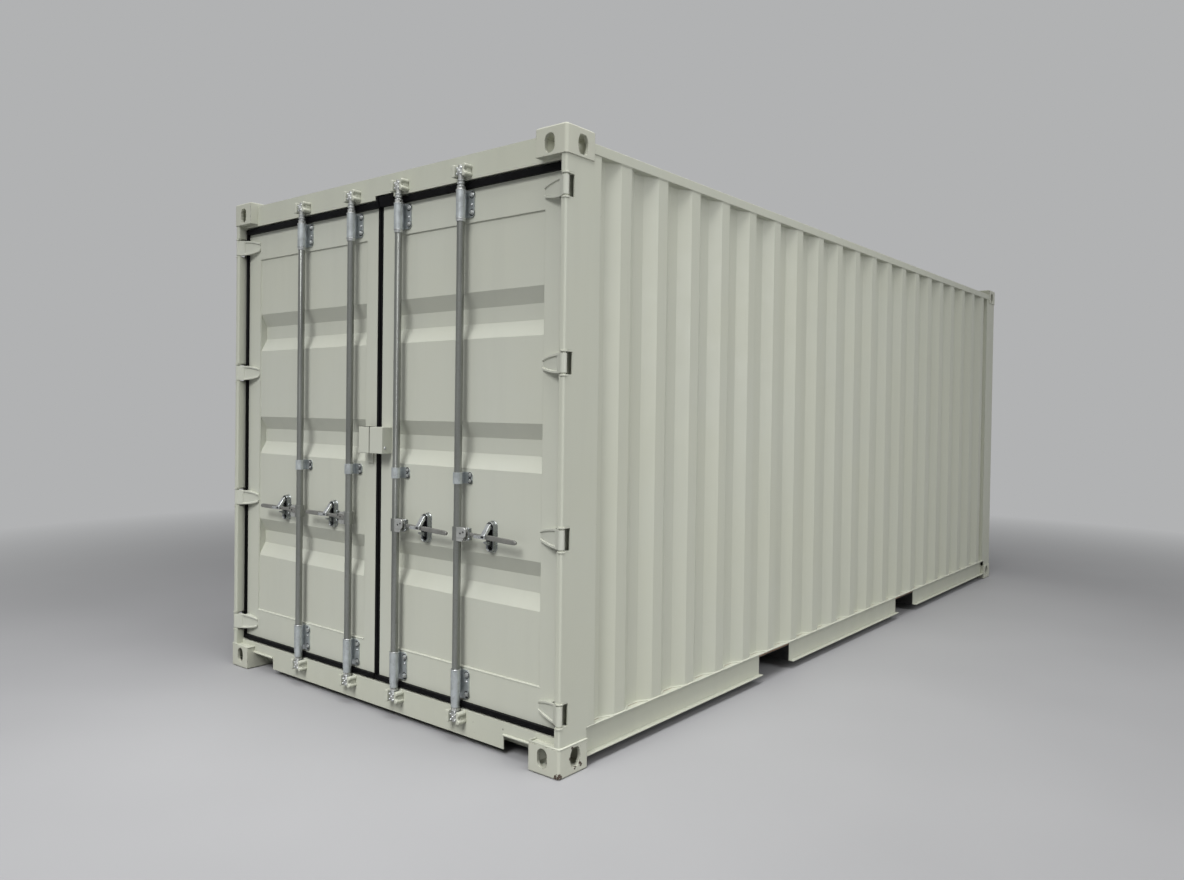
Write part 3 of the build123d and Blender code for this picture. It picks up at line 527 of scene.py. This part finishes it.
def cam_claws(side, hand, place, y):
    """Rounded teeth of the cam at both ends of a rod."""
    bm = bmesh.new()
    for z in KEEPER_Z:
        for a, b in ((-13, -13), (-13, 11), (13, -13), (13, 11)):
            dome(bm, (ROD_X - 7, side * y + a, z + b), (-1, 0, 0), 6.5, 12.0, 12)
        dome(bm, (ROD_X - 12, side * y, z), (-1, 0, 0), 6.0, 7.0, 12)
    rod = f"{hand}_{place}_lock_rod"
    finish_mesh(f"{hand}_{place}_cam_claws", bm, ZINC_BOLT, rod, 0.5, 2)


keepers("bottom_keepers", KEEPER_Z[0])
keepers("top_keepers", KEEPER_Z[1])
for rod in RODS:
    cam_claws(*rod)


# Hinge blades

def along(points, at):
    """Value at a place between the points of a line, given as (place, value) in order."""
    for (a, u), (b, v) in zip(points, points[1:]):
        if at <= b:
            return u + (v - u) * max(0.0, at - a) / (b - a)
    return points[-1][1]


BLADE_FRONT = ((10, -8), (22, 0), (45, 11), (146, 39))
BLADE_BACK = ((6, 11), (24, 21), (53, 21), (59, 47), (146, 47))
BLADE_STEPS = (10, 22, 34, 40, 44, 53, 59, 72, 86, 100, 114, 128, 139, 144, 146)
KNUCKLE = ((0, -40), (12.5, -40), (14, -38.5), (14, 38.5), (12.5, 40), (0, 40))


def hinge_blades(side, hand):
    """Forged straps from the knuckles onto the leaf, bowed, with a thick rim above and below a sunk web."""
    bm = bmesh.new()
    for hinge_z in HINGE_Z:
        loops = []
        for reach in BLADE_STEPS:
            t = max(0.0, reach - 30) / 116
            h = 40 - 17 * t * t - (3.5 if reach == BLADE_STEPS[-1] else 0)
            x0, x1 = HINGE_X + along(BLADE_FRONT, reach), HINGE_X + along(BLADE_BACK, reach)
            sunk = min(6.0 if reach > 42 else 0.0, x1 - x0 - 1.5)
            y = side * (HINGE_Y - reach)
            section = [
                (x0, -h), (x0, 9 - h), (x0 + sunk, 11 - h), (x0 + sunk, h - 11),
                (x0, h - 9), (x0, h), (x1, h), (x1, -h),
            ]
            loops.append([bm.verts.new((x, y, hinge_z + z)) for x, z in section])
        for low, high in zip(loops, loops[1:]):
            for i in range(len(low)):
                j = (i + 1) % len(low)
                bm.faces.new([low[i], low[j], high[j], high[i]])
        bm.faces.new(loops[0])
        bm.faces.new(loops[-1][::-1])
        turned(bm, KNUCKLE, 32, (HINGE_X, side * HINGE_Y, hinge_z))
    name = f"{hand}_blades_forged"
    blades = finish_mesh(name, bm, DOOR_PAINT, f"{hand}_door", 2.2, 3, 50.0)
    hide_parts(f"{hand}_hinge_blades")


for side, hand in HANDS:
    hinge_blades(side, hand)


# Side walls and the rails over them

WALL_Y, WALL_DEPTH, SHEET = 1213.0, 36.0, 2.0
WALL_START, WALL_WAVES = -2798.0, 19
WALL_Z0, WALL_Z1, RAIL_TOP = 166.5, 2503.0, 2547.0
POST_END = 2852.0
RAIL_END, RAIL_OUTER, RAIL_INNER = 2851.0, 1217.0, 1154.0
WAVE = (68.0, 70.0, 68.0, 72.0)


def wall_line():
    """Outer side of the folded sheet as (x, depth): even waves between a steep fold at either post."""
    line = [(-POST_END, 0.0)]
    x = WALL_START
    waves = [(4.0, 66.0, 68.0, 72.0)] + [WAVE] * WALL_WAVES + [(68.0, 32.0, 4.0, 0.0)]
    for fall, valley, rise, crest in waves:
        low = x + fall
        line += [(x, 0.0), (low, WALL_DEPTH), (low + valley, WALL_DEPTH), (low + valley + rise, 0.0)]
        x = low + valley + rise + crest
    return line + [(POST_END, 0.0)]


def side_wall(side, hand):
    line = wall_line()
    bm = bmesh.new()
    rows = []
    for depth, z in ((0.0, WALL_Z0), (0.0, WALL_Z1), (SHEET, WALL_Z1), (SHEET, WALL_Z0)):
        rows.append([bm.verts.new((x, side * (WALL_Y - v - depth), z)) for x, v in line])
    for low, high in zip(rows, rows[1:] + rows[:1]):
        for i in range(len(line) - 1):
            bm.faces.new([low[i], low[i + 1], high[i + 1], high[i]])
    for i in (0, -1):
        bm.faces.new([row[i] for row in rows])
    wall = finish_mesh(f"{hand}_folded_wall", bm, CREAM_PAINT, "frame", 0.0, 2, 20.0)
    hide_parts(f"{hand}_side_wall")
    foot = [(x, side * (WALL_Y - v + 1.0), WALL_Z0 + 1.5) for x, v in line[1:-1]]
    beads(f"{hand}_wall_foot_bead", [foot], 4.5, CREAM_PAINT, "frame")
    head = [(x, side * (WALL_Y - v), WALL_Z1 - 1) for x, v in line[1:-1]]
    beads(f"{hand}_wall_head_bead", [head], 2.5, CREAM_PAINT, "frame")
    lips = []
    for y, z, amount, phase in ((1212.5, 166, 0.3, 0.0), (1206, RAIL_TOP, 0.6, 1.0)):
        lips.append(wavy((-RAIL_END, side * y, z), (RAIL_END, side * y, z), 30.0, amount, phase))
    beads(f"{hand}_rail_lips", lips, 3.2, CREAM_PAINT, "frame")


def wavy(a, b, step=14.0, amount=0.7, phase=0.0):
    """Points of a hand-laid bead between two places."""
    a, b = Vector(a), Vector(b)
    count = max(2, int((b - a).length / step))
    out = []
    for i in range(count + 1):
        t = i / count
        p = a.lerp(b, t)
        w = amount * (math.sin(i * 1.9 + phase) + 0.6 * math.sin(i * 0.83 + 2 * phase))
        out.append((p.x, p.y, p.z + (w if abs(a.z - b.z) < 1 else 0.0)))
    return out


for side, hand in HANDS:
    side_wall(side, hand)
bm = bmesh.new()
for side, hand in HANDS:
    outer, inner = side * RAIL_OUTER, side * RAIL_INNER
    section = [(outer, WALL_Z1), (outer, RAIL_TOP), (inner, RAIL_TOP), (inner, WALL_Z1)]
    slab(bm, section, -RAIL_END, RAIL_END, "X")
rails = finish_mesh("top_rails_finished", bm, CREAM_PAINT, "frame", 3.0, 3)
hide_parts("top_side_rails")


# Weld beads on the frame

for side, hand in HANDS:
    corner = side * (SIDE - 1.5)
    inner = side * (SIDE - 162)
    low = [(FACE_X - 2, side * 873, 90), (FACE_X - 2, inner, 90)]
    beads(f"{hand}_notch_bead", [low], 6.0, CREAM_PAINT, "frame")
    ledge = [
        (FACE_X - 1, inner, 121),
        (-3024, inner, 121),
        (-3024, corner - side * 5, 121),
        (-3019, corner - side, 121),
        (DOOR_END + 178, corner - side, 121),
    ]
    beads(f"{hand}_foot_ledge", [ledge], 4.5, CREAM_PAINT, "frame")


# Fastenings of the rod guides

def guide_fastenings(side, hand):
    """Bolts and a pin on each plate, rivets on the sleeve's other edge, rings at the sleeve's ends; the
    near-black rings round the bolts are painted shadow, and the rivet heads are painted in the same
    near-black shade.
    """
    bm = bmesh.new()
    dark = bmesh.new()
    for y in ROD_Y:
        y = side * y
        middle = y - (GUIDE_R + GUIDE_FLANGE) / 2
        face = LEAF_X - GUIDE_T
        for (z0, z1), (low, high) in zip(GUIDE_Z, PLATE_Z):
            for z in (low + 21, high - 21):
                hex_bolt(bm, (face, middle, z), (-1, 0, 0), 16, 9, 1.35)
                # near-black ring painted as the shadow round the bolt head
                ring(dark, (face, middle, z), (-1, 0, 0), 15.5, 8.0, 0.8, 24)
            for z in (z0 + 20, z1 - 20):
                # rivet head in the near-black painted shade
                dome(dark, (ROD_X + 2, y + GUIDE_R, z), (0, 1, 0), 5.0, 3.0)
            dome(bm, (face, middle + 1, (z0 + z1) / 2), (-1, 0, 0), 6.0, 5.0)
            ring(bm, (ROD_X, y, z1 - 1), (0, 0, 1), GUIDE_R + 1.6, ROD_R + 0.8, 5.0, 40)
        ring(bm, (ROD_X, y, GUIDE_Z[1][0] - 6), (0, 0, 1), GUIDE_R + 1.0, ROD_R + 0.8, 5.0, 40)
        z0, z1 = MID_GUIDE_Z
        for z in (z0 + 12, z1 - 12):
            hex_bolt(bm, (face + 6, middle, z), (-1, 0, 0), 12, 7, 1.3)
            ring(dark, (face + 6, middle, z), (-1, 0, 0), 12.5, 6.5, 0.8, 24)
    # painted shade: the near-black rings round the bolts and the dark rivet heads
    finish_mesh(f"{hand}_guide_bolt_shade_rings", dark, SHADE_BLACK, f"{hand}_door", 0.3, 1)
    finish_mesh(f"{hand}_guide_bolts", bm, ZINC_BOLT, f"{hand}_door", 0.6, 2)


for side, hand in HANDS:
    guide_fastenings(side, hand)


# Bolt, a thin near-black plate painted as the shade in the mouth, and tab of the lock box

def block(bm, x, y, z):
    """A plain bar between two places along each axis."""
    slab(bm, [(y[0], z[0]), (y[1], z[0]), (y[1], z[1]), (y[0], z[1])], x[0], x[1], "X")


bm = bmesh.new()
dome(bm, (-3006.0, -98.0, 1273.0), (0, -1, 0), 7.0, 4.0)
finish_mesh("lock_box_bolt", bm, ZINC_BOLT, "right_door", 0.0, 1)
bm = bmesh.new()
# thin near-black plate painted as the shade inside the lock box's mouth
block(bm, (-3022.0, -2972.0), (22.0, 76.0), (1371.0, 1373.0))
finish_mesh("lock_box_mouth_shade", bm, SHADE_BLACK, "left_door", 0.3, 1)
bm = bmesh.new()
block(bm, (-2973.0, -2963.0), (36.0, 72.0), (1196.0, 1247.0))
finish_mesh("lock_box_tab", bm, DOOR_PAINT, "left_door", 1.5, 2)


# Rings on the rods

COLLARS = (
    (2280.0, 20.6, 11.0), (2429.0, 19.0, 6.0), (2441.0, 18.0, 8.0), (2456.0, 17.5, 6.0),
    (138.0, 20.0, 3.5), (128.0, 17.0, 6.0),
)
CHEEK = ((15, -15), (56, -15), (70, -6), (73, 6), (71, 24), (62, 32), (28, 32), (15, 26))
CHEEK_FRONT, CHEEK_BACK = -3027.5, -3019.5


def rod_rings(side, hand, place, y):
    """Collars on the rod under and over its guides, and the clevis cheek with its two holes drawn as
    near-black domes of painted shade.
    """
    bm = bmesh.new()
    y = side * y
    name = f"{hand}_{place}"
    rod = name + "_lock_rod"
    for z, r, high in COLLARS:
        ring(bm, (ROD_X, y, z), (0, 0, 1), r, 13.5, high, 36)
    finish_mesh(name + "_rod_rings", bm, ZINC_BOLT, rod, 0.8, 2)
    cheek = bmesh.new()
    low = 1.0 if side < 0 else 0.62
    outline = [(y + side * a, HANDLE_Z + b * low) for a, b in CHEEK]
    slab(cheek, outline, CHEEK_FRONT, CHEEK_BACK, "X")
    finish = ZINC_FORGED if side < 0 else ZINC_GRIP
    finish_mesh(name + "_clevis_cheek", cheek, finish, rod, 3.4, 4)
    # the two holes are near-black domes on the cheek, painted shade
    holes = bmesh.new()
    for a, b in ((40, 5), (58, 12)):
        dome(holes, (-3026.8, y + side * a, HANDLE_Z + b), (-1, 0, 0), 5.0, 1.6, 14)
    finish_mesh(name + "_clevis_hole_shade", holes, SHADE_BLACK, rod, 0.3, 1)


for rod in RODS:
    rod_rings(*rod)


# Handle retainers

def stadium(bm, at, reach, profile, segments=24):
    """An upright oval rim: profile points are (radius, height off the panel), reach half its length."""
    loops = []
    x, y, z = at
    for r, h in profile:
        loop = []
        for base, middle in ((0.0, z + reach), (math.pi, z - reach)):
            for i in range(segments + 1):
                a = base + math.pi * i / segments
                loop.append(bm.verts.new((x - h, y + r * math.cos(a), middle + r * math.sin(a))))
        loops.append(loop)
    for low, high in zip(loops, loops[1:]):
        for i in range(len(low)):
            j = (i + 1) % len(low)
            bm.faces.new([low[i], low[j], high[j], high[i]])
    bm.faces.new(loops[0][::-1])
    bm.faces.new(loops[-1])


CUP = (
    (26, 0), (26, 2.2), (24.5, 3.2), (23.4, 5), (23, 17), (22.2, 21.5), (20.6, 24),
    (19.2, 23.2), (18.4, 20), (17.6, 19.4), (16.8, 20.4), (15.8, 20), (15.2, 17), (14.8, 5),
)
CUP_REACH = 43.0


def retainers(side, hand):
    """Pressed oval cup with a double rim round a hole that is a near-black plate of painted shade, and a
    shelf under the handle.
    """
    cup, hole = bmesh.new(), bmesh.new()
    drop = (RETAINER_OFF - HANDLE_PIN) * math.tan(DROOP) if side < 0 else 0.0
    z = HANDLE_Z - drop + 4
    for y in ROD_Y:
        y = side * (y + RETAINER_OFF)
        stadium(cup, (PANEL_X, y, z), CUP_REACH, CUP)
        # near-black oval plate a little inside the rim, painted as the shade in the hole
        stadium(hole, (PANEL_X, y, z), CUP_REACH, [(15.4, 5.5), (15.2, 7.0)], 12)
        low = z - HANDLE_W / 2 - 4
        near, far = PANEL_X - 3, HANDLE_FRONT + 3
        slab(cup, [(near, low), (far, low), (far, low - 6), (near, low - 30)], y - 9, y + 9, "Y")
        pin = [(4.5, 0), (4.5, 22), (3.5, 23), (0, 23)]
        turned(cup, pin, 16, (PANEL_X - 22, y - 11.5, z + 37), (0, 1, 0))
    body = f"{hand}_door"
    plate = finish_mesh(f"{hand}_retainer_cups", cup, ZINC_CUP, body, 0.0, 2, 50.0)
    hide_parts(f"{hand}_handle_retainers")
    finish_mesh(f"{hand}_retainer_hole_shade", hole, SHADE_BLACK, body, 0.0)


for side, hand in HANDS:
    retainers(side, hand)


# Handles

def droop(side, a, z):
    """Height of a place on a handle, which hangs a little on the right leaf."""
    return z - (a - HANDLE_PIN) * math.tan(DROOP) + 6 if side < 0 else z + 4


BAR = (
    (30, 9), (44, 12), (58, 10), (80, 8.5), (150, 8.5),
    (176, 9.5), (215, 11), (300, 11), (346, 10), (358, 5.5),
)
CATCH_FRONT, CATCH_BACK = -3026.5, -3018.5


def handle(side, hand, place, y):
    """Flat bar with an eye, a necked shank and a rounded grip, its collar, and the catch on it."""
    body = f"{hand}_{place}_handle"
    y = side * y
    middle = (HANDLE_FRONT + HANDLE_BACK) / 2
    outline = list(BAR) + [(a, -b) for a, b in reversed(BAR)]
    bar = bmesh.new()
    hung = [(y + side * a, droop(side, a, HANDLE_Z + b)) for a, b in outline]
    slab(bar, hung, middle - 6, middle + 6, "X")
    grip = finish_mesh(f"{hand}_{place}_handle_bar", bar, ZINC_GRIP, body, 4.2, 4, 60.0)
    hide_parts(body)
    iron = bmesh.new()
    z = droop(side, 80, HANDLE_Z)
    plate = [(y + side * a, z + b) for a, b in ((79, -24), (84, -24), (84, 26), (79, 26))]
    slab(iron, plate, middle - 9, middle + 9, "X")
    for b in (-22, 24):
        dome(iron, (middle - 8, y + side * 81.5, z + b), (-1, 0, 0), 6.5, 5.0, 14)
    finish_mesh(f"{hand}_{place}_handle_collar", iron, ZINC_CUP, body, 1.4, 2)
    catch = bmesh.new()
    cup = y + side * RETAINER_OFF
    z = droop(side, RETAINER_OFF, HANDLE_Z)
    strap = ((58, -2), (52, 6), (-4, 8), (-10, 4), (-10, -7), (50, -8))
    slab(catch, [(cup + a, z + b) for a, b in strap], CATCH_FRONT, CATCH_BACK, "X")
    hook = ((CATCH_FRONT, -5), (-3018, -5), (-2985, 38), (-2985, 54), (-2992, 54), (CATCH_FRONT, 9))
    slab(catch, [(x, z + b) for x, b in hook], cup - 13, cup + 11, "Y")
    finish_mesh(f"{hand}_{place}_handle_catch", catch, ZINC_BOLT, body, 2.4, 4)


for rod in RODS:
    handle(*rod)


# Weld beads and paint lines of the leaves

def rounded_rect(x, y0, y1, z0, z1, r, steps=4):
    points = []
    corners = ((y1 - r, z1 - r, 0), (y0 + r, z1 - r, 90), (y0 + r, z0 + r, 180), (y1 - r, z0 + r, 270))
    for cy, cz, a0 in corners:
        for i in range(steps + 1):
            a = math.radians(a0 + 90 * i / steps)
            points.append((x, cy + r * math.cos(a), cz + r * math.sin(a)))
    return points


for side, hand in HANDS:
    y0, y1 = PANEL_Y
    z0, z1 = PANEL_Z
    body = f"{hand}_door"
    x = PANEL_X - 1.5
    foot = wavy((x, side * (y0 + 6), z0 + 2), (x, side * (y1 + 4), z0 + 3), 14.0, 0.8)
    beads(f"{hand}_panel_foot_bead", [foot], 6.0, DOOR_PAINT, body)
    x = PANEL_X - 0.5
    rest = [
        wavy((x, side * y0, z1 - 1), (x, side * y1, z1 - 1), 14.0, 0.4, 1.0),
        wavy((x, side * y0, z0), (x, side * y0, z1)),
        wavy((x, side * y1, z0), (x, side * y1, z1)),
    ]
    beads(f"{hand}_panel_beads", rest, 2.6, DOOR_PAINT, body)


# Lips of the door gaskets

for side, hand in HANDS:
    outer = rounded_rect(-2981.5, 12.0, 1174.0, 155.0, 2451.0, 4.0)
    outer = [(x, side * y, z) for x, y, z in outer if y > 40]
    inner = rounded_rect(-2979.0, 30.0, 1169.5, 165.0, 2436.0, 4.0)
    inner = [(x, side * y, z) for x, y, z in inner if y > 40]
    beads(f"{hand}_gasket_lips", [outer, inner], 3.0, RUBBER, f"{hand}_door")


# Camera

CAMERA_AT = (-5.714, -3.489, 1.462)
CAMERA_TURN, CAMERA_PITCH, CAMERA_ROLL = math.radians(39.64), math.radians(-0.886), math.radians(0.76)
look = Vector((
    math.cos(CAMERA_PITCH) * math.cos(CAMERA_TURN),
    math.cos(CAMERA_PITCH) * math.sin(CAMERA_TURN),
    math.sin(CAMERA_PITCH),
))
right = look.cross(Vector((0, 0, 1))).normalized()
above = right.cross(look)
c, s = math.cos(CAMERA_ROLL), math.sin(CAMERA_ROLL)
right, above = c * right + s * above, c * above - s * right
eye = bpy.data.cameras.new("camera")
eye.sensor_width = 36.0
eye.lens = 27.30
eye.shift_x = 0.0168
eye.shift_y = -0.0130
eye.clip_end = 200.0
camera = bpy.data.objects.new("camera", eye)
turn = Matrix((right, above, -look)).transposed().to_4x4()
camera.matrix_world = Matrix.Translation(CAMERA_AT) @ turn
bpy.context.scene.collection.objects.link(camera)
bpy.context.scene.camera = camera


# Floor and light

PALE = (0.44, 0.445, 0.45)


def stage_material():
    """Pale floor that fades into the background far from the object."""
    mat, tree, shader, coords = start("studio_floor")
    tone = remap(tree, grain(tree, coords, 0.6, 2.0), 0.3, 0.7)
    path = put(tree, "LightPath")
    seen = calc(tree, "MAXIMUM", path.outputs["Is Camera Ray"], path.outputs["Is Glossy Ray"])
    pale = tint(tree, tone, (0.34, 0.34, 0.35), (0.37, 0.37, 0.38))
    tree.links.new(tint(tree, seen, (0.17, 0.17, 0.17), pale), shader.inputs["Base Color"])
    shader.inputs["Roughness"].default_value = 0.6
    away = put(tree, "VectorMath", operation="LENGTH")
    link_or_set(tree, away.inputs[0], coords)
    glow = put(tree, "Emission", {"Color": (*PALE, 1.0)})
    mix = put(tree, "MixShader", {0: remap(tree, away.outputs["Value"], 3.7, 8.5)})
    tree.links.new(shader.outputs[0], mix.inputs[1])
    tree.links.new(glow.outputs[0], mix.inputs[2])
    tree.links.new(mix.outputs[0], tree.nodes["Material Output"].inputs["Surface"])
    return mat


bm = bmesh.new()
half = 60.0
corners = [bm.verts.new((x * half, y * half, 0)) for x, y in ((-1, -1), (1, -1), (1, 1), (-1, 1))]
bm.faces.new(corners)
mesh = bpy.data.meshes.new("studio_floor")
bm.to_mesh(mesh)
bm.free()
mesh.materials.append(stage_material())
floor = bpy.data.objects.new("studio_floor", mesh)
bpy.context.scene.collection.objects.link(floor)


def lamp(name, at, target, size, power, spread):
    data = bpy.data.lights.new(name, "AREA")
    data.shape = "SQUARE"
    data.size = size
    data.energy = power
    data.spread = math.radians(spread)
    obj = bpy.data.objects.new(name, data)
    obj.location = at
    obj.rotation_euler = (Vector(target) - Vector(at)).to_track_quat("-Z", "Y").to_euler()
    bpy.context.scene.collection.objects.link(obj)


lamp("key", (-11.5, -1.8, 8.2), (-3.0, 0.9, -4.4), 6.0, 226, 60)
lamp("fill", (0.6, -11.5, 7.6), (0.5, -1.2, -3.4), 9.0, 122, 68)
lamp("edge", (-1.2, -11.5, 3.0), (-3.0, -0.6, 1.2), 3.2, 34, 70)
lamp("top", (-3.5, -3.4, 11.5), (-1.6, -1.3, 0.0), 6.0, 165, 75)

world = bpy.data.worlds.new("studio")
bpy.context.scene.world = world
world.use_nodes = True
tree = world.node_tree
light = tree.nodes["Background"]
light.inputs["Color"].default_value = (0.8, 0.81, 0.82, 1.0)
light.inputs["Strength"].default_value = 0.08
plain = put(tree, "Background", {"Color": (*PALE, 1.0), "Strength": 1.0})
path = put(tree, "LightPath")
mix = put(tree, "MixShader")
seen = calc(tree, "MAXIMUM", path.outputs["Is Camera Ray"], path.outputs["Is Glossy Ray"])
link_or_set(tree, mix.inputs[0], seen)
tree.links.new(light.outputs[0], mix.inputs[1])
tree.links.new(plain.outputs[0], mix.inputs[2])
tree.links.new(mix.outputs[0], tree.nodes["World Output"].inputs["Surface"])
bpy.context.scene.view_settings.view_transform = "Standard"
